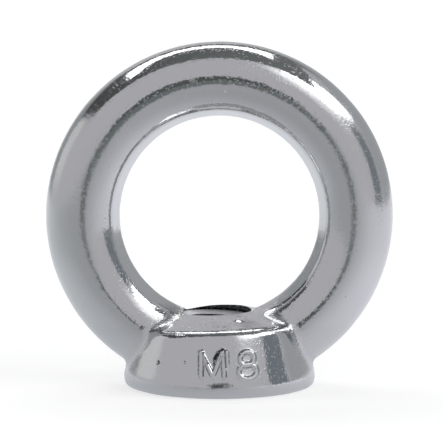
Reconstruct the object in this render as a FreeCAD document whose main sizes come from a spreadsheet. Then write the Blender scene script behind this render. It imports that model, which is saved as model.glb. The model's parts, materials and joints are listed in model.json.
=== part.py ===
import FreeCAD, Part
import math
import os
import Sketcher

# Lifting eye nut for an M8 stud, one solid casting: a round ring that stands on a flared round base,
# with a threaded hole up through the base into the ring's eye.
# Millimetres. The origin is the middle of the base's underside and +Z runs up the hole.
# The ring stands in the XZ plane, so its eye looks along Y.

# Driving dimensions: diameters, widths, heights above the underside and radii of roundings
SIZES = {
    "ring_outer_diameter": 36.0,
    "eye_diameter": 20.6,
    "eye_centre_height": 17.6,
    "ring_thickness": 7.8,
    "inner_bevel_width": 4.8,
    "inner_ridge_rounding": 0.8,
    "base_diameter": 19.9,
    "belly_height": 0.96,
    "belly_rounding": 2.75,
    "foot_rounding": 0.3,
    "shoulder_diameter": 16.5,
    "shoulder_height": 6.42,
    "shoulder_rounding": 1.05,
    "boss_height": 7.7,
    "junction_rounding": 0.8,
    "bore_diameter": 6.647,
    "upper_countersink_diameter": 7.4,
    "lower_countersink_diameter": 8.4,
}

# Sketcher's numbers for a curve and its points, and for its own axes and origin point
CURVE, START, END, CENTRE = range(4)
SKETCH_V_AXIS, SKETCH_H_AXIS = range(-2, 0)
SKETCH_ORIGIN = (SKETCH_H_AXIS, START)

# Radii, heights and areas this close are the same
SAME = 0.001

# How far the upper countersink's cutter stands proud of the boss, clear of the ring inside the eye
CUTTER_OVERRUN = 1.0


def make_sheet(document):
    sheet = document.addObject("Spreadsheet::Sheet", "Sizes")
    for row, (name, value) in enumerate(SIZES.items(), start=1):
        sheet.set("A%d" % row, name)
        sheet.set("B%d" % row, str(value))
        sheet.setAlias("B%d" % row, name)
    document.recompute()


def at(x, y):
    return FreeCAD.Vector(x, y, 0)


def line(sketch, start, end):
    return sketch.addGeometry(Part.LineSegment(at(*start), at(*end)))


def arc(sketch, centre, radius, start_angle, end_angle):
    circle = Part.Circle(at(*centre), FreeCAD.Vector(0, 0, 1), radius)
    return sketch.addGeometry(Part.ArcOfCircle(circle, start_angle, end_angle))


def new_sketch(body, name, plane_role):
    sketch = body.newObject("Sketcher::SketchObject", name)
    plane = next(item for item in body.Origin.OriginFeatures if item.Role == plane_role)
    sketch.AttachmentSupport = [(plane, "")]
    sketch.MapMode = "FlatFace"
    return sketch


def relate(sketch, kind, *places):
    return sketch.addConstraint(Sketcher.Constraint(kind, *places))


def drive(sketch, kind, places, formula):
    # A dimension starts at what the drawn geometry measures, and the sheet then sets it
    if kind == "Radius":
        measured = sketch.Geometry[places[0]].Radius
    else:
        span = sketch.getPoint(*places[2:]) - sketch.getPoint(*places[:2])
        measured = span.x if kind == "DistanceX" else span.y
    index = relate(sketch, kind, *places, measured)
    sketch.setExpression("Constraints[%d]" % index, formula)


def drive_point(sketch, place, x_formula, y_formula):
    drive(sketch, "DistanceX", (*SKETCH_ORIGIN, *place), x_formula)
    drive(sketch, "DistanceY", (*SKETCH_ORIGIN, *place), y_formula)


def tangent_angle(centre, radius, outside):
    # Where a line from a point outside a circle touches it on its far right side
    across = outside[0] - centre[0]
    up = outside[1] - centre[1]
    return math.atan2(up, across) - math.acos(radius / math.hypot(across, up))


def on_circle(centre, radius, angle):
    return centre[0] + radius * math.cos(angle), centre[1] + radius * math.sin(angle)


def revolve(body, kind, name, sketch, axis):
    feature = body.newObject(kind, name)
    feature.Profile = (sketch, [""])
    feature.ReferenceAxis = (sketch, [axis])
    feature.Angle = 360
    body.Document.recompute()
    return feature


def fillet(body, name, base, edge_names, size_name):
    feature = body.newObject("PartDesign::Fillet", name)
    feature.Base = (base, edge_names)
    feature.setExpression("Radius", "Sizes." + size_name)
    body.Document.recompute()
    return feature


def level_circle(shape, radius, height):
    # The names of the full circles about the Z axis of this radius at this height
    names = []
    for number, edge in enumerate(shape.Edges, start=1):
        curve = edge.Curve
        if not isinstance(curve, Part.Circle):
            continue
        if abs(curve.Radius - radius) < SAME and abs(curve.Center.z - height) < SAME:
            names.append("Edge%d" % number)
    return names


def draw_base_profile(body):
    # Half of the base: flat underside, rounded belly, flank leaning in to the shoulder,
    # and a top that rises to the rim of the hole and on to the axis
    belly_radius = SIZES["belly_rounding"]
    belly = (SIZES["base_diameter"] / 2 - belly_radius, SIZES["belly_height"])
    foot = (belly[0] + math.sqrt(belly_radius**2 - belly[1] ** 2), 0)
    shoulder = (SIZES["shoulder_diameter"] / 2, SIZES["shoulder_height"])
    rim = SIZES["upper_countersink_diameter"] / 2
    rise = SIZES["boss_height"] - shoulder[1]
    peak = (0, shoulder[1] + rise * shoulder[0] / (shoulder[0] - rim))
    flank_angle = tangent_angle(belly, belly_radius, shoulder)

    sketch = new_sketch(body, "base_profile", "XZ_Plane")
    underside = line(sketch, (0, 0), foot)
    belly_arc = arc(sketch, belly, belly_radius, math.atan2(-belly[1], foot[0] - belly[0]), flank_angle)
    flank = line(sketch, on_circle(belly, belly_radius, flank_angle), shoulder)
    top = line(sketch, shoulder, peak)
    axis = line(sketch, peak, (0, 0))

    relate(sketch, "Coincident", underside, START, *SKETCH_ORIGIN)
    relate(sketch, "Coincident", underside, END, belly_arc, START)
    relate(sketch, "Tangent", belly_arc, END, flank, START)
    relate(sketch, "Coincident", flank, END, top, START)
    relate(sketch, "Coincident", top, END, axis, START)
    relate(sketch, "Coincident", axis, END, *SKETCH_ORIGIN)
    relate(sketch, "Horizontal", underside)
    relate(sketch, "Vertical", axis)
    drive(sketch, "Radius", (belly_arc,), "Sizes.belly_rounding")
    drive_point(
        sketch, (belly_arc, CENTRE), "Sizes.base_diameter / 2 - Sizes.belly_rounding", "Sizes.belly_height"
    )
    drive_point(sketch, (flank, END), "Sizes.shoulder_diameter / 2", "Sizes.shoulder_height")
    drive(
        sketch,
        "DistanceY",
        (*SKETCH_ORIGIN, axis, START),
        "Sizes.shoulder_height + (Sizes.boss_height - Sizes.shoulder_height) * Sizes.shoulder_diameter"
        " / (Sizes.shoulder_diameter - Sizes.upper_countersink_diameter)",
    )
    return sketch, foot[0]


def draw_ring_section(body):
    # The ring's section, at the top of the ring: round outside and on the faces, with two
    # straight bevels inside that meet in a blunt ridge at the eye
    centre_height = SIZES["eye_centre_height"]
    section_radius = SIZES["ring_thickness"] / 2
    section = (0, centre_height + SIZES["ring_outer_diameter"] / 2 - section_radius)
    half_bevel = SIZES["inner_bevel_width"] / 2
    crease_drop = math.sqrt(section_radius**2 - half_bevel**2)
    crease = (half_bevel, section[1] - crease_drop)
    ridge_radius = SIZES["inner_ridge_rounding"]
    ridge = (0, centre_height + SIZES["eye_diameter"] / 2 + ridge_radius)
    bevel_angle = tangent_angle(ridge, ridge_radius, crease)
    bevel_foot = on_circle(ridge, ridge_radius, bevel_angle)
    crease_angle = math.atan2(-crease_drop, half_bevel)

    sketch = new_sketch(body, "ring_section", "YZ_Plane")
    outside = arc(sketch, section, section_radius, crease_angle, math.pi - crease_angle)
    back_bevel = line(sketch, (-crease[0], crease[1]), (-bevel_foot[0], bevel_foot[1]))
    ridge_arc = arc(sketch, ridge, ridge_radius, math.pi - bevel_angle, 2 * math.pi + bevel_angle)
    front_bevel = line(sketch, bevel_foot, crease)
    eye_axis = line(sketch, (0, centre_height), (section_radius, centre_height))
    sketch.setConstruction(eye_axis, True)

    relate(sketch, "Coincident", outside, END, back_bevel, START)
    relate(sketch, "Tangent", back_bevel, END, ridge_arc, START)
    relate(sketch, "Tangent", ridge_arc, END, front_bevel, START)
    relate(sketch, "Coincident", front_bevel, END, outside, START)
    relate(sketch, "PointOnObject", outside, CENTRE, SKETCH_V_AXIS)
    relate(sketch, "PointOnObject", ridge_arc, CENTRE, SKETCH_V_AXIS)
    relate(sketch, "Symmetric", outside, START, outside, END, SKETCH_V_AXIS)
    drive(sketch, "Radius", (outside,), "Sizes.ring_thickness / 2")
    drive(sketch, "Radius", (ridge_arc,), "Sizes.inner_ridge_rounding")
    drive(sketch, "DistanceX", (*SKETCH_ORIGIN, outside, START), "Sizes.inner_bevel_width / 2")
    drive(
        sketch,
        "DistanceY",
        (*SKETCH_ORIGIN, outside, CENTRE),
        "Sizes.eye_centre_height + (Sizes.ring_outer_diameter - Sizes.ring_thickness) / 2",
    )
    drive(
        sketch,
        "DistanceY",
        (*SKETCH_ORIGIN, ridge_arc, CENTRE),
        "Sizes.eye_centre_height + Sizes.eye_diameter / 2 + Sizes.inner_ridge_rounding",
    )
    relate(sketch, "Horizontal", eye_axis)
    relate(sketch, "PointOnObject", eye_axis, START, SKETCH_V_AXIS)
    drive(sketch, "DistanceY", (*SKETCH_ORIGIN, eye_axis, START), "Sizes.eye_centre_height")
    drive(sketch, "DistanceX", (eye_axis, START, eye_axis, END), "Sizes.ring_thickness / 2")
    return sketch


def draw_machining_profile(body):
    # Half of what the lathe takes away: the facing cut under the base, which also trims the ring,
    # and the hole with a countersink at each end, open up to the middle of the eye
    facing = (SIZES["ring_outer_diameter"] / 2, -SIZES["ring_thickness"])
    bore = SIZES["bore_diameter"] / 2
    lower = SIZES["lower_countersink_diameter"] / 2
    upper = SIZES["upper_countersink_diameter"] / 2
    boss = SIZES["boss_height"]
    eye_centre = SIZES["eye_centre_height"]
    flared = "Sizes.upper_countersink_diameter / 2 + %g" % CUTTER_OVERRUN
    corners = [
        ((0, facing[1]), "0", "-Sizes.ring_thickness"),
        (facing, "Sizes.ring_outer_diameter / 2", "-Sizes.ring_thickness"),
        ((facing[0], 0), "Sizes.ring_outer_diameter / 2", "0"),
        ((lower, 0), "Sizes.lower_countersink_diameter / 2", "0"),
        (
            (bore, lower - bore),
            "Sizes.bore_diameter / 2",
            "(Sizes.lower_countersink_diameter - Sizes.bore_diameter) / 2",
        ),
        (
            (bore, boss - upper + bore),
            "Sizes.bore_diameter / 2",
            "Sizes.boss_height - (Sizes.upper_countersink_diameter - Sizes.bore_diameter) / 2",
        ),
        (
            (upper + CUTTER_OVERRUN, boss + CUTTER_OVERRUN),
            flared,
            "Sizes.boss_height + %g" % CUTTER_OVERRUN,
        ),
        ((upper + CUTTER_OVERRUN, eye_centre), flared, "Sizes.eye_centre_height"),
        ((0, eye_centre), "0", "Sizes.eye_centre_height"),
    ]
    sketch = new_sketch(body, "machining_profile", "XZ_Plane")
    sides = [line(sketch, here[0], there[0]) for here, there in zip(corners, corners[1:] + corners[:1])]
    for side, next_side in zip(sides, sides[1:] + sides[:1]):
        relate(sketch, "Coincident", side, END, next_side, START)
    for side, (_, x_formula, y_formula) in zip(sides, corners):
        drive_point(sketch, (side, START), x_formula, y_formula)
    return sketch


def junction_edges(shape):
    # The edges above the underside where the ring's round face meets a face of the base
    section_radius = SIZES["ring_thickness"] / 2

    def is_round_ring(face):
        surface = face.Surface
        return isinstance(surface, Part.Toroid) and abs(surface.MinorRadius - section_radius) < SAME

    def is_ring(face):
        return abs(getattr(face.Surface, "Axis", FreeCAD.Vector(0, 0, 1)).y) > 0.5

    names = []
    for number, edge in enumerate(shape.Edges, start=1):
        faces = shape.ancestorsOfType(edge, Part.Face)
        meets_base = len(faces) == 2 and any(not is_ring(face) for face in faces)
        if meets_base and any(is_round_ring(face) for face in faces) and edge.BoundBox.ZMax > SAME:
            names.append("Edge%d" % number)
    return names


def make_eye_nut(document):
    body = document.addObject("PartDesign::Body", "eye_nut")
    base_profile, foot_radius = draw_base_profile(body)
    base = revolve(body, "PartDesign::Revolution", "base", base_profile, "V_Axis")
    shoulder = level_circle(base.Shape, SIZES["shoulder_diameter"] / 2, SIZES["shoulder_height"])
    rounded_shoulder = fillet(body, "rounded_shoulder", base, shoulder, "shoulder_rounding")
    foot = level_circle(rounded_shoulder.Shape, foot_radius, 0)
    rounded_foot = fillet(body, "rounded_foot", rounded_shoulder, foot, "foot_rounding")
    ring = revolve(body, "PartDesign::Revolution", "ring", draw_ring_section(body), "Axis0")
    junction = fillet(body, "junction", ring, junction_edges(ring.Shape), "junction_rounding")
    machining = revolve(body, "PartDesign::Groove", "machining", draw_machining_profile(body), "V_Axis")
    if rounded_foot.Shape.Volume > ring.Shape.Volume - SAME:
        raise RuntimeError("the ring added nothing")
    if machining.Shape.Volume > junction.Shape.Volume - SAME:
        raise RuntimeError("the machining cut nothing")
    body.Placement = FreeCAD.Placement()
    return body


def check(document, parts):
    for item in document.Objects:
        if "Invalid" in item.State or "Error" in item.State:
            raise RuntimeError("%s is left in state %s" % (item.Name, item.State))
    for part in parts:
        if part.Shape.isNull() or not part.Shape.isValid() or len(part.Shape.Solids) != 1:
            raise RuntimeError("%s is not one valid solid" % part.Label)


document = FreeCAD.newDocument("lifting_eye_nut")
make_sheet(document)
parts = [make_eye_nut(document)]
document.recompute()
check(document, parts)
os.makedirs("parts", exist_ok=True)
for part in parts:
    part.Shape.exportStep("parts/%s.step" % part.Label)
    print(part.Label, "volume", round(part.Shape.Volume, 1), "faces", len(part.Shape.Faces))
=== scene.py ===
import json
import math
import time

import bpy
import numpy as np
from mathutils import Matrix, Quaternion, Vector, noise
from mathutils.bvhtree import BVHTree


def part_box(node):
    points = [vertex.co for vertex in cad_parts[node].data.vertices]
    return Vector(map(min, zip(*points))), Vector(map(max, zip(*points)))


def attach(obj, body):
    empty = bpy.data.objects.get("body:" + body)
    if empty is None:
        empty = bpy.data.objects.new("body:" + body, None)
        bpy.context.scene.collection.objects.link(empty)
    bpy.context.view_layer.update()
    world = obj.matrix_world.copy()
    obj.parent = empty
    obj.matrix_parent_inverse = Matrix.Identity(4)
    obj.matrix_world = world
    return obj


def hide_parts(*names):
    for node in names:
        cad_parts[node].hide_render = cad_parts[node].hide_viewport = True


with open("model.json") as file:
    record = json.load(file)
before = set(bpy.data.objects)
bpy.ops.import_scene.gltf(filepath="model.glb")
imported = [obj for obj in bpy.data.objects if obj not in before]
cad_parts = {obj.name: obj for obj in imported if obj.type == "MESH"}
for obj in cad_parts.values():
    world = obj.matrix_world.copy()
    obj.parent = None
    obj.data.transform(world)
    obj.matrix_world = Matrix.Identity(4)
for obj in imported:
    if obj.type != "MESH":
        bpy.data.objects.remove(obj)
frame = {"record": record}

# Lifting eye nut M8: one polished casting, a round ring on a flared round base with a tapped hole.
# Its front, with the raised mark, looks towards -Y, where the camera stands.
# Blender works in metres, so a size in millimetres is written as a number times mm.
mm = 0.001
weld = 0.01 * mm  # points this close become one
started = time.time()

# What the CAD model gives: its box, the ring, the base and the thread's bore
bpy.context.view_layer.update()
lowCorner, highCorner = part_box("eye_nut")
ringRadius = (highCorner.x - lowCorner.x) / 2
eyeCentre = Vector((0, 0, highCorner.z - ringRadius))
baseRadius = highCorner.y
threadMount = next(mount for mount in frame["record"]["mounts"] if mount["name"] == "thread")
minorRadius = threadMount["dims"]["r_mm"] * mm


def report(stage):
    print("%-28s %5.1f s" % (stage, time.time() - started))


report("frame loaded")


# Working with one object at a time

def deselectAll():
    if bpy.context.mode != "OBJECT":
        bpy.ops.object.mode_set(mode="OBJECT")
    bpy.ops.object.select_all(action="DESELECT")


def makeActive(piece):
    deselectAll()
    piece.select_set(True)
    bpy.context.view_layer.objects.active = piece


def editAll(piece):
    makeActive(piece)
    bpy.ops.object.mode_set(mode="EDIT")
    bpy.ops.mesh.select_all(action="SELECT")


def applyModifier(piece, kind, **settings):
    makeActive(piece)
    modifier = piece.modifiers.new(kind.title(), kind)
    for name, value in settings.items():
        setattr(modifier, name, value)
    bpy.ops.object.modifier_apply(modifier=modifier.name)


def readPoints(piece):
    points = np.empty(len(piece.data.vertices) * 3)
    piece.data.vertices.foreach_get("co", points)
    return points.reshape(-1, 3)


def readNormals(piece):
    normals = np.empty(len(piece.data.vertices) * 3)
    piece.data.vertices.foreach_get("normal", normals)
    return normals.reshape(-1, 3)


def writePoints(piece, points):
    piece.data.vertices.foreach_set("co", points.ravel())
    piece.data.update()


def smoothStep(low, high, value):  # 0 up to low, 1 from high, smooth between them
    share = np.clip((value - low) / (high - low), 0, 1)
    return share * share * (3 - 2 * share)


# A profile is drawn like bent wire: a point, then straight runs and arcs, each from the last end

def startProfile(name, point):
    deselectAll()
    bpy.ops.mesh.primitive_plane_add(size=mm)
    piece = bpy.context.object
    piece.name = piece.data.name = name
    editAll(piece)
    bpy.ops.mesh.select_mode(type="VERT")
    bpy.ops.mesh.merge(type="CENTER")
    bpy.ops.transform.translate(value=point)
    return piece, Vector(point)


def run(pen, end):
    bpy.ops.mesh.extrude_region_move(TRANSFORM_OT_translate={"value": Vector(end) - pen})
    return Vector(end)


def bend(pen, centre, axis, angle, steps):
    bpy.ops.mesh.spin(steps=steps, angle=-angle, center=centre, axis=axis)  # spin turns left-handed
    return Vector(centre) + Quaternion(axis, angle) @ (pen - Vector(centre))


def spinAround(piece, centre, axis, steps):
    editAll(piece)
    bpy.ops.mesh.spin(steps=steps, angle=math.tau, center=centre, axis=axis)
    bpy.ops.mesh.select_all(action="SELECT")
    bpy.ops.mesh.remove_doubles(threshold=weld)
    bpy.ops.mesh.normals_make_consistent(inside=False)
    bpy.ops.object.mode_set(mode="OBJECT")


def tangentAngle(centre, radius, outside):  # where a line from a point outside touches a circle's right side
    across, up = outside[0] - centre[0], outside[1] - centre[1]
    return math.atan2(up, across) - math.acos(radius / math.hypot(across, up))


ringSizes = {
    "section": 7.8 * mm,  # across the faces, and nearly so in the ring's plane
    "eye": 20.6 * mm,
    "bevel": 4.8 * mm,  # across both straight bevels inside the eye
    "ridge": 0.8 * mm,  # rounding where the bevels meet
    "turnSteps": 240,
    "sectionSteps": 72,
    "ridgeSteps": 8,
    "trimHeight": 0.6 * mm,  # the ring is trimmed inside the base, so that it never shows below it
}


def makeRing():
    sectionRadius = ringSizes["section"] / 2
    ridgeRadius = ringSizes["ridge"]
    middle = Vector((0, 0, eyeCentre.z + ringRadius - sectionRadius))
    ridge = Vector((0, 0, eyeCentre.z + ringSizes["eye"] / 2 + ridgeRadius))
    half = ringSizes["bevel"] / 2
    drop = math.sqrt(sectionRadius**2 - half**2)
    crease = Vector((0, half, middle.z - drop))
    footAngle = tangentAngle((0, ridge.z), ridgeRadius, (half, crease.z))
    foot = Vector((0, ridgeRadius * math.cos(footAngle), ridge.z + ridgeRadius * math.sin(footAngle)))
    outside = math.tau - 2 * math.asin(half / sectionRadius)

    ring, pen = startProfile("ring", crease)
    pen = bend(pen, middle, (1, 0, 0), outside, ringSizes["sectionSteps"])
    pen = run(pen, (0, -foot.y, foot.z))
    pen = bend(pen, ridge, (1, 0, 0), math.pi + 2 * footAngle, ringSizes["ridgeSteps"])
    run(pen, crease)
    spinAround(ring, eyeCentre, (0, 1, 0), ringSizes["turnSteps"])
    editAll(ring)
    bpy.ops.mesh.bisect(
        plane_co=(0, 0, ringSizes["trimHeight"]), plane_no=(0, 0, 1), use_fill=True, clear_inner=True
    )
    bpy.ops.object.mode_set(mode="OBJECT")
    return ring


baseSizes = {
    "bellyHeight": 0.96 * mm,
    "bellyRounding": 2.75 * mm,
    "footRounding": 0.3 * mm,
    "shoulderRadius": 8.25 * mm,
    "shoulderHeight": 6.42 * mm,
    "shoulderRounding": 1.05 * mm,
    "bossHeight": 7.7 * mm,  # at the rim of the hole
    "rimRadius": 3.7 * mm,
    "turnSteps": 192,
    "footSteps": 6,
    "bellySteps": 16,
    "shoulderSteps": 10,
    "tilt": math.radians(2.0),  # the casting's shoulder stands a little higher at the right
    "tiltFrom": 1.5 * mm,
    "tiltTo": 5.5 * mm,
}


def makeBase():
    bellyRadius, footRadius = baseSizes["bellyRounding"], baseSizes["footRounding"]
    shoulderRadius = baseSizes["shoulderRounding"]
    belly = (baseRadius - bellyRadius, baseSizes["bellyHeight"])
    footRise = footRadius - belly[1]
    foot = (belly[0] + math.sqrt((bellyRadius - footRadius) ** 2 - footRise**2), footRadius)
    footAngle = math.atan2(footRise, foot[0] - belly[0])
    corner = (baseSizes["shoulderRadius"], baseSizes["shoulderHeight"])
    flankAngle = tangentAngle(belly, bellyRadius, corner)
    rise = (baseSizes["bossHeight"] - corner[1]) * corner[0] / (corner[0] - baseSizes["rimRadius"])
    topAngle = math.atan2(corner[0], rise)
    reach = shoulderRadius / math.cos((topAngle - flankAngle) / 2)
    middle = (flankAngle + topAngle) / 2
    shoulder = (corner[0] - reach * math.cos(middle), corner[1] - reach * math.sin(middle))
    flankTop = (
        shoulder[0] + shoulderRadius * math.cos(flankAngle),
        0,
        shoulder[1] + shoulderRadius * math.sin(flankAngle),
    )
    turnAxis = (0, -1, 0)  # turns from +X up to +Z

    base, pen = startProfile("base", (0, 0, 0))
    pen = run(pen, (foot[0], 0, 0))
    pen = bend(pen, (foot[0], 0, foot[1]), turnAxis, footAngle + math.pi / 2, baseSizes["footSteps"])
    pen = bend(pen, (belly[0], 0, belly[1]), turnAxis, flankAngle - footAngle, baseSizes["bellySteps"])
    pen = run(pen, flankTop)
    pen = bend(
        pen, (shoulder[0], 0, shoulder[1]), turnAxis, topAngle - flankAngle, baseSizes["shoulderSteps"]
    )
    run(pen, (0, 0, corner[1] + rise))
    spinAround(base, (0, 0, 0), (0, 0, 1), baseSizes["turnSteps"])

    points = readPoints(base)
    share = smoothStep(baseSizes["tiltFrom"], baseSizes["tiltTo"], points[:, 2])
    share *= smoothStep(baseSizes["rimRadius"], shoulder[0], np.hypot(points[:, 0], points[:, 1]))
    points[:, 2] += share * points[:, 0] * math.tan(baseSizes["tilt"])
    writePoints(base, points)
    return base


castingSizes = {
    "voxel": 0.232 * mm,
    "smoothing": 8,
    "smoothingFactor": 0.5,
    "junctionReach": 1.3 * mm,  # how far the blend between ring and base spreads
    "junctionSmoothing": 22,
    "roughReach": 0.95 * mm,
    "fullShare": 0.3,  # share of a reach over which it counts in full
    "waves": [(3.2 * mm, 0.016 * mm), (1.3 * mm, 0.006 * mm)],  # cast unevenness: length and height
    "roughWaves": [(0.8 * mm, 0.016 * mm)],  # only in the blend, which no polishing wheel reaches
    "roughSeed": 7,
    "smoothAngle": math.radians(35),
}


def junctionWeights(casting, surfaces, reach):  # 1 where ring and base meet, 0 where either is far
    away = [
        max(surface.find_nearest(vertex.co)[3] for surface in surfaces)
        for vertex in casting.data.vertices
    ]
    return 1 - smoothStep(castingSizes["fullShare"], 1.0, np.array(away) / reach)


def waves(points, length, seed):
    offset = Vector((seed * 3.7, seed * 1.3, seed * 2.9))
    return np.array([noise.noise(Vector(point) + offset) for point in (points / length).tolist()])


def makeCasting(ring, base):
    surfaces = [
        BVHTree.FromObject(piece, bpy.context.evaluated_depsgraph_get()) for piece in (ring, base)
    ]
    deselectAll()
    ring.select_set(True)
    base.select_set(True)
    bpy.context.view_layer.objects.active = base
    bpy.ops.object.join()
    casting = bpy.context.object
    casting.name = casting.data.name = "casting"
    factor = castingSizes["smoothingFactor"]
    applyModifier(casting, "REMESH", mode="VOXEL", voxel_size=castingSizes["voxel"])
    applyModifier(casting, "SMOOTH", factor=factor, iterations=castingSizes["smoothing"])

    # Ring and base are blended only where both surfaces are near
    junction = casting.vertex_groups.new(name="junction")
    for index, weight in enumerate(junctionWeights(casting, surfaces, castingSizes["junctionReach"])):
        if weight > 0:
            junction.add([index], weight, "REPLACE")
    iterations = castingSizes["junctionSmoothing"]
    applyModifier(casting, "SMOOTH", factor=factor, iterations=iterations, vertex_group="junction")
    casting.vertex_groups.clear()

    weights = junctionWeights(casting, surfaces, castingSizes["roughReach"])
    points, normals = readPoints(casting), readNormals(casting)
    rise = np.zeros(len(points))
    for seed, (length, height) in enumerate(castingSizes["waves"]):
        rise += height * waves(points, length, seed)
    for length, height in castingSizes["roughWaves"]:
        rise += weights * height * waves(points, length, castingSizes["roughSeed"])
    points += rise[:, None] * normals
    points[:, 2] = np.maximum(points[:, 2], 0)
    writePoints(casting, points)
    return casting, surfaces


markSizes = {
    "halfWidth": 0.34 * mm,
    "crest": 0.2,  # share of the half width that is flat on top
    "mound": (0.1 * mm, 4.5 * mm, 0.8 * mm, 0.14 * mm),  # at the M's right peak: place, reach, height
    "moundCrest": 0.1,
    "region": (-2.7 * mm, 4.6 * mm, 0.9 * mm, 5.5 * mm),  # left, right, low and high on the flank
    "fromAxis": 8 * mm,  # the front flank is further out than this
    "cuts": 3,
    # the M's strokes: height, then corners across and up, in mm
    "strokes": [
        (0.28, [(-1.82, 2.3), (-1.78, 4.6)]),
        (0.13, [(-1.78, 4.6), (-1.2, 3.4)]),
        (0.24, [(-1.2, 3.4), (-0.68, 2.3), (0.32, 4.72)]),
        (0.3, [(0.32, 4.72), (0.47, 2.3)]),
    ],
    # the loops of the 8: centre, half width and half height, in mm
    "loops": [(2.73, 3.95, 0.68, 0.66), (2.8, 2.72, 0.88, 0.7)],
    "loopHeight": 0.28,
    "loopSteps": 48,
}


def strokeDistance(across, up, corners):
    nearest = np.full(len(across), 1.0)
    for (x0, z0), (x1, z1) in zip(corners, corners[1:]):
        dx, dz = x1 - x0, z1 - z0
        share = np.clip(((across - x0) * dx + (up - z0) * dz) / (dx * dx + dz * dz), 0, 1)
        nearest = np.minimum(nearest, np.hypot(across - x0 - share * dx, up - z0 - share * dz))
    return nearest


def inMetres(corners):
    return [(x * mm, z * mm) for x, z in corners]


def refine(casting, chosen, cuts):  # divides the faces whose centres are chosen
    editAll(casting)
    bpy.ops.mesh.select_mode(type="FACE")
    bpy.ops.mesh.select_all(action="DESELECT")
    bpy.ops.object.mode_set(mode="OBJECT")
    for face in casting.data.polygons:
        face.select = chosen(face.center)
    bpy.ops.object.mode_set(mode="EDIT")
    bpy.ops.mesh.subdivide(number_cuts=cuts, smoothness=0)
    bpy.ops.object.mode_set(mode="OBJECT")


def onFrontFlank(x, y):
    return (y < 0) & (np.hypot(x, y) > markSizes["fromAxis"])


def raiseMark(casting):
    left, right, low, high = markSizes["region"]

    def inRegion(x, y, z):
        return onFrontFlank(x, y) & (x > left) & (x < right) & (z > low) & (z < high)

    refine(casting, lambda centre: bool(inRegion(*centre)), markSizes["cuts"])
    points, normals = readPoints(casting), readNormals(casting)
    near = inRegion(*points.T)
    across, up = points[near, 0], points[near, 2]
    strokes = list(markSizes["strokes"])
    turns = np.linspace(0, math.tau, markSizes["loopSteps"] + 1)
    for x, z, wide, tall in markSizes["loops"]:
        loop = [(x + wide * math.cos(turn), z + tall * math.sin(turn)) for turn in turns]
        strokes.append((markSizes["loopHeight"], loop))
    rise = np.zeros(len(across))
    for height, corners in strokes:
        away = strokeDistance(across, up, inMetres(corners)) / markSizes["halfWidth"]
        rise = np.maximum(rise, height * mm * (1 - smoothStep(markSizes["crest"], 1.0, away)))
    moundAcross, moundUp, reach, height = markSizes["mound"]
    away = np.hypot(across - moundAcross, up - moundUp) / reach
    rise += height * (1 - smoothStep(markSizes["moundCrest"], 1.0, away))
    points[near] += rise[:, None] * normals[near]
    writePoints(casting, points)


flawSizes = {
    "spread": 1.3,  # the mesh is divided this many reaches out, and a margin more
    "margin": 0.1 * mm,
    "cuts": 3,
    # a point just outside the casting, then reach and depth, in mm; a negative depth is a bump
    "flaws": [
        ((-6.44, -7.2, 3.45), 0.32, 0.1),
        ((-3.66, -8.94, 3.72), 0.17, 0.09),
        ((0.65, -4.5, 30.3), 0.18, 0.08),
        ((2.0, -5.0, 7.6), 0.7, -0.08),
        ((12.9, -4.0, 9.6), 0.16, 0.06),
        ((-5.2, 8.6, 2.9), 0.22, 0.08),
        ((9.5, 4.5, 28.0), 0.2, 0.06),
    ],
}


def addFlaws(casting):
    surface = BVHTree.FromObject(casting, bpy.context.evaluated_depsgraph_get())
    for place, reach, depth in flawSizes["flaws"]:
        centre = surface.find_nearest(Vector(place) * mm)[0]
        reach *= mm
        divided = flawSizes["spread"] * reach + flawSizes["margin"]
        refine(casting, lambda point: (point - centre).length < divided, flawSizes["cuts"])
        points, normals = readPoints(casting), readNormals(casting)
        away = np.linalg.norm(points - np.array(centre), axis=1) / reach
        near = away < 1
        points[near] -= (depth * mm * (1 - smoothStep(0, 1, away[near])))[:, None] * normals[near]
        writePoints(casting, points)


holeSizes = {
    "lowerRadius": 4.2 * mm,  # countersink at the underside; at the top the thread just runs out
    "overrun": 1.0 * mm,
    "turnSteps": 128,
}


def makeHoleCutter():
    lower, overrun = holeSizes["lowerRadius"], holeSizes["overrun"]
    corners = [
        (lower + overrun, -overrun),
        (minorRadius, lower - minorRadius),
        (minorRadius, eyeCentre.z),
        (0, eyeCentre.z),
    ]
    cutter, pen = startProfile("holeCutter", (0, 0, -overrun))
    for radius, height in corners:
        pen = run(pen, (radius, 0, height))
    spinAround(cutter, (0, 0, 0), (0, 0, 1), holeSizes["turnSteps"])
    return cutter


threadSizes = {
    "pitch": 1.25 * mm,
    "majorRadius": 4.0 * mm,
    "flankAngle": math.radians(30),
    "coreGap": 0.05 * mm,  # the tap's core stays clear of the bore's wall
    "rootAtBack": 7.25 * mm,  # height of a groove's root on the far side
    "turns": 10,
    "turnsAbove": 2,  # of them above that root
    "turnSteps": 96,
    "weld": 0.005 * mm,
    "top": 8.6 * mm,
    "bottom": 0.3 * mm,
}


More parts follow.
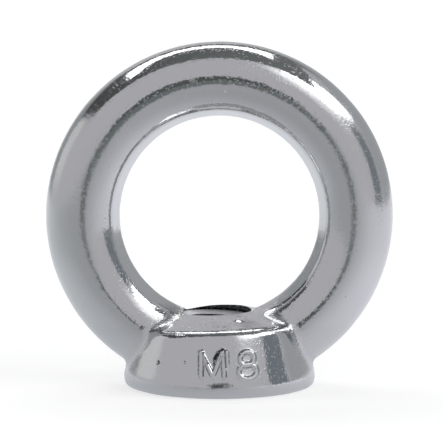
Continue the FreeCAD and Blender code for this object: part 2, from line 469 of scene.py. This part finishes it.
def makeTap():
    pitch, major = threadSizes["pitch"], threadSizes["majorRadius"]
    core = minorRadius - threadSizes["coreGap"]
    flank = (major - core) * math.tan(threadSizes["flankAngle"])
    root = pitch / 8  # flat at the bottom of the groove
    crest = pitch - root - 2 * flank
    start = threadSizes["rootAtBack"] - (threadSizes["turns"] - threadSizes["turnsAbove"]) * pitch
    heights = [start + root / 2, start + root / 2 + flank, start + root / 2 + flank + crest]
    heights.append(heights[-1] + flank)
    radii = [major, core, core, major]
    tap, pen = startProfile("tap", (0, major, start - root / 2))
    for radius, height in zip(radii, heights):
        pen = run(pen, (0, radius, height))
    bpy.ops.object.mode_set(mode="OBJECT")
    applyModifier(
        tap,
        "SCREW",
        screw_offset=pitch,
        iterations=threadSizes["turns"],
        steps=threadSizes["turnSteps"],
        render_steps=threadSizes["turnSteps"],
        use_merge_vertices=True,
        merge_threshold=threadSizes["weld"],
    )
    editAll(tap)
    bpy.ops.mesh.remove_doubles(threshold=threadSizes["weld"])
    for height, side in ((threadSizes["top"], "clear_outer"), (threadSizes["bottom"], "clear_inner")):
        bpy.ops.mesh.select_all(action="SELECT")
        bpy.ops.mesh.bisect(plane_co=(0, 0, height), plane_no=(0, 0, 1), use_fill=True, **{side: True})
    bpy.ops.mesh.select_all(action="SELECT")
    bpy.ops.mesh.normals_make_consistent(inside=False)
    bpy.ops.object.mode_set(mode="OBJECT")
    return tap


def cutHole(casting):
    for makeCutter in (makeHoleCutter, makeTap):
        cutter = makeCutter()
        applyModifier(casting, "BOOLEAN", operation="DIFFERENCE", solver="EXACT", object=cutter)
        bpy.data.objects.remove(cutter)


# Painted shade and painted light are kept as shares on the faces: shade on the thread's faces that don't
# look up and in lines round the mark, light on the thread's flanks that look up
paintedShadingSizes = {
    "thread": 1.0,
    "threadFrom": 0.9 * mm,
    "threadTo": eyeCentre.z / 2,
    "threadPast": 0.02 * mm,  # how far past the major radius a face of the thread may lie
    "inward": 0.3,  # a thread's face looks at the axis at least this much
    "flank": 0.4,  # and gets painted light, a pale matte grey, where it looks up more than this
    "edge": (0.5, 1.5),  # half widths between which a line of painted shade fades
    # lines of painted shade round the mark, under it and in two pits: half width and share, then corners
    # across and up on the front flank, in mm
    "lines": [
        (0.09, 0.9, [(0.7, 4.84), (0.38, 4.93), (0.0, 4.8)]),
        (0.19, 1.0, [(-0.12, 4.62), (-0.34, 4.25), (-0.48, 3.95)]),
        (0.1, 0.95, [(-0.5, 3.95), (-0.6, 3.4)]),
        (0.06, 0.6, [(-2.12, 4.7), (-2.12, 2.5)]),
        (0.07, 0.45, [(0.92, 4.65), (0.98, 3.5)]),
        (0.09, 0.65, [(-1.62, 4.62), (-1.12, 3.6)]),
        (0.24, 0.5, [(-0.5, 1.42), (0.8, 1.46)]),
        (0.12, 0.3, [(-1.1, 1.42), (1.3, 1.42)]),
        (0.12, 0.7, [(-6.16, 3.42), (-6.1, 3.3)]),
        (0.06, 0.8, [(-3.49, 3.66), (-3.47, 3.64)]),
    ],
}


def addAttributes(casting, surfaces):
    faces, attributes = casting.data.polygons, casting.data.attributes
    rough = junctionWeights(casting, surfaces, castingSizes["roughReach"])
    centres, normals = np.empty(len(faces) * 3), np.empty(len(faces) * 3)
    faces.foreach_get("center", centres)
    faces.foreach_get("normal", normals)
    centres, normals = centres.reshape(-1, 3), normals.reshape(-1, 3)
    x, y, height = centres.T
    radius = np.hypot(x, y)
    inward = -(centres[:, :2] * normals[:, :2]).sum(axis=1) / radius
    thread = inward > paintedShadingSizes["inward"]
    thread &= (radius < threadSizes["majorRadius"] + paintedShadingSizes["threadPast"])
    thread &= (height > paintedShadingSizes["threadFrom"]) & (height < paintedShadingSizes["threadTo"])
    # painted light: the thread's faces that look up get a pale matte finish
    paintedLitFlank = thread & (normals[:, 2] > paintedShadingSizes["flank"])
    # painted shade on the thread's faces that don't look up
    paintedShade = np.where(thread & ~paintedLitFlank, paintedShadingSizes["thread"], 0.0)
    front = onFrontFlank(x, y)
    for halfWidth, share, corners in paintedShadingSizes["lines"]:
        away = strokeDistance(x[front], height[front], inMetres(corners)) / (halfWidth * mm)
        paintedShade[front] = np.maximum(paintedShade[front], share * (1 - smoothStep(*paintedShadingSizes["edge"], away)))
    # rough is 0 where polished and 1 in the blends; the painted shade is 0 where none is painted and 1 where
    # black, and the painted light is 1 on the thread's upward flanks
    attributes.new("rough", "FLOAT", "POINT").data.foreach_set("value", rough)
    attributes.new("paintedShade", "FLOAT", "FACE").data.foreach_set("value", paintedShade)
    attributes.new("paintedLitFlank", "FLOAT", "FACE").data.foreach_set("value", paintedLitFlank.astype(float))


ring = makeRing()
base = makeBase()
report("ring and base")
casting, surfaces = makeCasting(ring, base)
report("casting, %d faces" % len(casting.data.polygons))
raiseMark(casting)
addFlaws(casting)
report("mark, %d faces" % len(casting.data.polygons))
cutHole(casting)
makeActive(casting)
bpy.ops.object.shade_smooth_by_angle(angle=castingSizes["smoothAngle"])
addAttributes(casting, surfaces)
report("hole, %d triangles" % sum(len(face.vertices) - 2 for face in casting.data.polygons))


# Shader maths: a wire is a socket that can be added, multiplied and led on into other nodes

class Wire:
    def __init__(self, tree, socket=None):
        self.tree = tree
        self.socket = socket

    def node(self, kind, settings=(), sockets=(), output=0):
        made = self.tree.nodes.new(kind)
        for name, value in dict(settings).items():
            setattr(made, name, value)
        for name, value in dict(sockets).items():
            if isinstance(value, Wire):
                self.tree.links.new(value.socket, made.inputs[name])
            else:
                made.inputs[name].default_value = value
        return Wire(self.tree, made.outputs[output])

    def maths(self, operation, *values):
        return self.node("ShaderNodeMath", {"operation": operation}, enumerate(values))

    def __add__(self, other):
        return self.maths("ADD", self, other)

    def __sub__(self, other):
        return self.maths("SUBTRACT", self, other)

    def __rsub__(self, other):
        return self.maths("SUBTRACT", other, self)

    def __mul__(self, other):
        return self.maths("MULTIPLY", self, other)

    def __truediv__(self, other):
        return self.maths("DIVIDE", self, other)

    __radd__ = __add__
    __rmul__ = __mul__

    def step(self, low, high):  # 0 at low, 1 at high, smooth between them; low may be the larger
        sockets = {"Value": self, "From Min": low, "From Max": high}
        return self.node("ShaderNodeMapRange", {"interpolation_type": "SMOOTHSTEP"}, sockets)

    def between(self, low, high, edge):
        return self.step(low - edge, low + edge) * self.step(high + edge, high - edge)

    def colour(self, first, second):  # this wire is the share of the second colour
        return self.node("ShaderNodeMix", {"data_type": "RGBA"}, {0: self, 6: first, 7: second}, 2)

    def part(self, name):
        return self.node("ShaderNodeSeparateXYZ", (), {0: self}, name)

    def noise(self, size, detail):
        sockets = {"Vector": self, "Scale": 1 / size, "Detail": detail}
        return self.node("ShaderNodeTexNoise", (), sockets, "Fac")


def square(wire):
    return wire * wire


def distance(first, second):
    return first.maths("SQRT", square(first) + square(second))


def newMaterial(name):
    material = bpy.data.materials.new(name)
    material.use_nodes = True
    tree = material.node_tree
    tree.nodes.clear()
    output = tree.nodes.new("ShaderNodeOutputMaterial")
    return material, Wire(tree), output.inputs["Surface"]


def grey(level, tint=(1, 1, 1)):
    return (*[level * share for share in tint], 1)


# Polished cast steel: mirror bright, with a fine grain that is rougher where no wheel reaches, and with
# painted shade and painted light in the thread and round the mark
finishSizes = {
    "steel": (0.62, 0.625, 0.635, 1),
    # painted shade, then the pale matte grey painted as light on the thread's upward flanks
    "paintedShade": (0.03, 0.034, 0.036, 1),
    "paintedLitFlank": (0.95, 0.96, 0.97, 1),
    "patch": 1.6 * mm,  # size of the patches that are polished more or less
    "worn": (0.45, 0.62),  # where a patch starts to show more grain, and where it shows it in full
    "ripple": 0.36 * mm,
    "grain": 0.2 * mm,
    "depth": 0.02 * mm,
    "speck": (0.61, 0.73),  # the part of the grain that stands up as specks
    "speckShare": {"worn": 0.04, "rough": 0.1},
    "side": {"across": (8 * mm, 14 * mm), "height": (9 * mm, 13 * mm)},  # the ring's sides, less polished
    "skin": {"across": (8 * mm, 8.9 * mm), "height": (7 * mm, 6 * mm)},  # the base's sides under the ring
    "rise": {
        "ripple": 0.4, "fine": 0.08, "worn": 0.09, "rough": 1.3, "paintedLitFlank": 0.8, "speck": 0.26, "skin": 0.5
    },
    "cover": {"least": 0.6, "grain": 0.7, "edge": (0.4, 0.5)},  # the painted shade is broken up by the grain
    "roughness": 0.055,
    "roughnessMore": {
        "patch": 0.05, "side": 0.1, "skin": 0.16, "rough": 0.1, "speck": 0.05, "paintedLitFlank": 0.3, "dark": 0.2
    },
}


def makeFinish():
    material, start, surface = newMaterial("polishedCasting")
    place = start.node("ShaderNodeTexCoord", output="Object")
    rough, paintedShade, paintedLitFlank = [
        start.node("ShaderNodeAttribute", {"attribute_name": name}, output="Fac")
        for name in ("rough", "paintedShade", "paintedLitFlank")
    ]
    across, height = start.maths("ABSOLUTE", place.part("X")), place.part("Z")
    side, skin = [
        across.step(*finishSizes[name]["across"]) * height.step(*finishSizes[name]["height"])
        for name in ("side", "skin")
    ]
    patch = place.noise(finishSizes["patch"], 2)
    worn = patch.step(*finishSizes["worn"])
    ripple, fine = place.noise(finishSizes["ripple"], 2), place.noise(finishSizes["grain"], 1)
    share = finishSizes["speckShare"]
    speck = (fine + share["worn"] * worn + share["rough"] * rough).step(*finishSizes["speck"])

    rise = finishSizes["rise"]
    grain = rise["ripple"] * ripple + rise["speck"] * speck + rise["skin"] * fine * skin
    grain += fine * (rise["fine"] + rise["worn"] * worn + rise["rough"] * rough + rise["paintedLitFlank"] * paintedLitFlank)
    bump = {"Strength": 1.0, "Distance": finishSizes["depth"], "Height": grain}
    cover = finishSizes["cover"]
    # painted shade, broken up by the grain
    dark = paintedShade * (cover["least"] + cover["grain"] * fine.step(*cover["edge"]))
    dark = start.maths("MINIMUM", dark, 1)
    # painted light: pale matte grey on the thread's upward flanks
    steel = paintedLitFlank.colour(finishSizes["steel"], finishSizes["paintedLitFlank"])
    more = finishSizes["roughnessMore"]
    shares = {"side": side, "skin": skin, "rough": rough, "speck": speck, "paintedLitFlank": paintedLitFlank, "dark": dark}
    roughness = finishSizes["roughness"] + more["patch"] * (patch - 0.5)
    for name, wire in shares.items():
        roughness += more[name] * wire
    shader = start.node(
        "ShaderNodeBsdfPrincipled",
        (),
        {
            "Base Color": dark.colour(steel, finishSizes["paintedShade"]),
            "Metallic": 1 - paintedLitFlank,
            "Roughness": roughness,
            "Normal": start.node("ShaderNodeBump", (), bump),
        },
    )
    start.tree.links.new(shader.socket, surface)
    return material


casting.data.materials.clear()
casting.data.materials.append(makeFinish())
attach(casting, "root")
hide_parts("eye_nut")
report("finish")


# The studio: a grey tent with white lamps and dark cards, seen only in the metal.
# Azimuth 0 is the camera's side and grows towards +X, in degrees as elevation is.
# The ceiling is measured on a plane one unit up: across towards +X, along towards the camera.
studio = {
    "wall": grey(0.60, (1.0, 0.99, 1.03)),
    # azimuth from and to, elevation from and to, softness, colour
    "wallCards": [
        (-149, -122, 2, 30, 2, grey(0.37, (0.96, 1.01, 1.03))),
        (-150, -125, 30, 45, 2, grey(0.30)),
        (95, 166, 0, 45, 4, grey(0.46, (0.97, 1.0, 1.02))),
        (140, 175, 35, 50, 3, grey(0.28)),
        (64, 91, 0, 30, 1.5, grey(0.245, (0.9, 1.01, 1.1))),
        (-122, -90, 6, 42, 5, grey(0.76)),
        (30, 54, 30, 58, 9, grey(1.6)),
        (48, 97, 34, 58, 2, grey(3.2)),
    ],
    "backdrop": grey(1.0),  # behind the nut, low down, and all that the camera sees of the studio
    "backdropLow": (13, 9),
    "backdropLeft": (-150, -156),
    "backdropRight": (160, 166),
    "backdropRightShade": grey(0.53),
    "horizon": 0.02,  # the ceiling's plane isn't followed below this
    "ceilingPanel": {"across": (-1.5, 0.75), "slant": 0.216, "along": (-1.13, 0.38), "edge": 0.03},
    "panelShades": {"across": (-1.6, 0.7), "left": grey(0.07), "right": grey(0.2, (0.95, 1.03, 1.0))},
    "ceilingLamp": {"across": (-0.71, 0.35), "along": (-0.77, -0.02), "edge": 0.03, "light": grey(3.5)},
    "ceilingDisc": {"centre": (-0.12, 0.0), "radius": 0.5, "edge": 0.03},  # hides the lamp's middle
    "cameraShape": {"centre": (-2.5, 4.5), "radius": (8.4, 7.2), "shade": grey(0.12, (0.95, 1.03, 1.0))},
}


def makeWorld():
    world = bpy.data.worlds.new("studio")
    bpy.context.scene.world = world
    world.use_nodes = True
    tree = world.node_tree
    tree.nodes.clear()
    start = Wire(tree)
    direction = start.node("ShaderNodeTexCoord", output="Generated")
    x, y, z = [direction.part(name) for name in "XYZ"]
    azimuth = start.maths("ARCTAN2", x, y * -1) * math.degrees(1)
    elevation = start.maths("ARCSINE", z) * math.degrees(1)
    up = start.maths("MAXIMUM", z, studio["horizon"])
    across, along = x / up, y / up * -1

    sky = studio["wall"]
    for left, right, low, high, edge, colour in studio["wallCards"]:
        mask = azimuth.between(left, right, edge) * elevation.between(low, high, edge)
        sky = mask.colour(sky, colour)
    low = elevation.step(*studio["backdropLow"])
    sky = (azimuth.step(*studio["backdropRight"]) * low).colour(sky, studio["backdropRightShade"])
    sky = (azimuth.step(*studio["backdropLeft"]) * low).colour(sky, studio["backdrop"])

    panel, shades = studio["ceilingPanel"], studio["panelShades"]
    mask = (across - along * panel["slant"]).between(*panel["across"], panel["edge"])
    mask *= along.between(*panel["along"], panel["edge"])
    sky = mask.colour(sky, across.step(*shades["across"]).colour(shades["left"], shades["right"]))
    lamp, disc = studio["ceilingLamp"], studio["ceilingDisc"]
    mask = across.between(*lamp["across"], lamp["edge"]) * along.between(*lamp["along"], lamp["edge"])
    away = distance(across - disc["centre"][0], along - disc["centre"][1])
    mask *= away.step(disc["radius"] - disc["edge"], disc["radius"] + disc["edge"])
    sky = mask.colour(sky, lamp["light"])

    # The camera's own dark shape in front
    shape = studio["cameraShape"]
    away = distance(azimuth - shape["centre"][0], elevation - shape["centre"][1])
    sky = away.step(*shape["radius"]).colour(sky, shape["shade"])

    seen = start.node("ShaderNodeLightPath", output="Is Camera Ray")
    sky = seen.colour(sky, studio["backdrop"])
    light = start.node("ShaderNodeBackground", (), {"Color": sky})
    output = tree.nodes.new("ShaderNodeOutputWorld")
    tree.links.new(light.socket, output.inputs["Surface"])


# A matte floor that shows white to the camera, and in the metal glows with painted light and shade that
# change round the nut
floorSizes = {
    "size": 3.0,
    "gap": 0.02 * mm,  # under the foot, so that the two flat faces don't coincide
    "paint": grey(0.55),
    "glow": 0.62,
    "near": 25 * mm,  # softens the change of tone under the nut
    "close": (80 * mm, 40 * mm),
    "paintedFloorLight": {
        "middle": 0.74, "right": 0.12, "back": 0.26, "rightBack": -0.17, "closeSides": 0.17, "close": -0.05
    },
    "tintLeft": grey(1.0, (0.95, 1.0, 1.03)),
    "tintRight": grey(1.0, (1.0, 0.99, 1.06)),
    "frontCard": {
        "azimuth": (-11, 4, 2), "away": (110 * mm, 160 * mm), "shade": grey(0.2, (0.93, 1.03, 1.02))
    },
}


def makeFloor():
    deselectAll()
    bpy.ops.mesh.primitive_plane_add(size=floorSizes["size"], location=(0, 0, -floorSizes["gap"]))
    floor = bpy.context.object
    floor.name = floor.data.name = "floor"
    material, start, surface = newMaterial("paleFloor")
    place = start.node("ShaderNodeTexCoord", output="Object")
    x, y = place.part("X"), place.part("Y")
    away = start.maths("SQRT", square(x) + square(y) + floorSizes["near"] ** 2)
    side, back = x / away, y / away
    close = away.step(*floorSizes["close"])
    parts = floorSizes["paintedFloorLight"]
    # painted light and shade in the floor's glow: brighter to the right and at the back, darker in front of
    # the nut
    paintedFloorLight = parts["middle"] + parts["right"] * side + parts["back"] * back
    paintedFloorLight += parts["rightBack"] * start.maths("MAXIMUM", side, 0) * back
    paintedFloorLight += close * (parts["closeSides"] * square(side) + parts["close"])
    tint = (0.5 + 0.5 * side).colour(floorSizes["tintLeft"], floorSizes["tintRight"])
    shade = paintedFloorLight.colour(grey(0.0), tint)
    # a painted dark patch on the floor in front, seen only in the metal
    card = floorSizes["frontCard"]
    azimuth = start.maths("ARCTAN2", x, y * -1) * math.degrees(1)
    mask = azimuth.between(*card["azimuth"]) * distance(x, y).step(*card["away"])
    shade = mask.colour(shade, card["shade"])
    seen = start.node("ShaderNodeLightPath", output="Is Camera Ray")
    mirrored = start.node("ShaderNodeLightPath", output="Is Glossy Ray")
    matte = start.node("ShaderNodeBsdfDiffuse", (), {"Color": floorSizes["paint"]})
    light = {"Color": mirrored.colour(grey(1.0), shade), "Strength": floorSizes["glow"] * seen + mirrored}
    glow = start.node("ShaderNodeEmission", (), light)
    solid = start.node("ShaderNodeAddShader", (), {0: matte, 1: glow})
    both = start.node("ShaderNodeMixShader", (), {0: mirrored, 1: solid, 2: glow})
    start.tree.links.new(both.socket, surface)
    floor.data.materials.append(material)


makeWorld()
makeFloor()
bpy.context.scene.view_settings.view_transform = "Standard"
report("studio")


cameraSizes = {
    "distance": 220 * mm,
    "elevation": math.radians(5.3),
    "focalPixels": 2121,
    "photoWidth": 443,
    "sensorWidth": 36,  # in millimetres, as Blender's lens is
    "aimRight": 0.21 * mm,
    "aimLower": 0.43 * mm,
    "clipStart": 1 * mm,
}


def placeCamera():
    view = bpy.data.cameras.new("camera")
    camera = bpy.data.objects.new("camera", view)
    bpy.context.scene.collection.objects.link(camera)
    bpy.context.scene.camera = camera
    view.sensor_width = cameraSizes["sensorWidth"]
    view.lens = view.sensor_width * cameraSizes["focalPixels"] / cameraSizes["photoWidth"]
    view.clip_start = cameraSizes["clipStart"]
    away, rise = cameraSizes["distance"], cameraSizes["elevation"]
    camera.location = eyeCentre + Vector((0, -away * math.cos(rise), away * math.sin(rise)))
    aim = eyeCentre + Vector((cameraSizes["aimRight"], 0, -cameraSizes["aimLower"]))
    camera.rotation_euler = (aim - camera.location).to_track_quat("-Z", "Y").to_euler()


placeCamera()
bpy.context.view_layer.update()
report("scene ready")
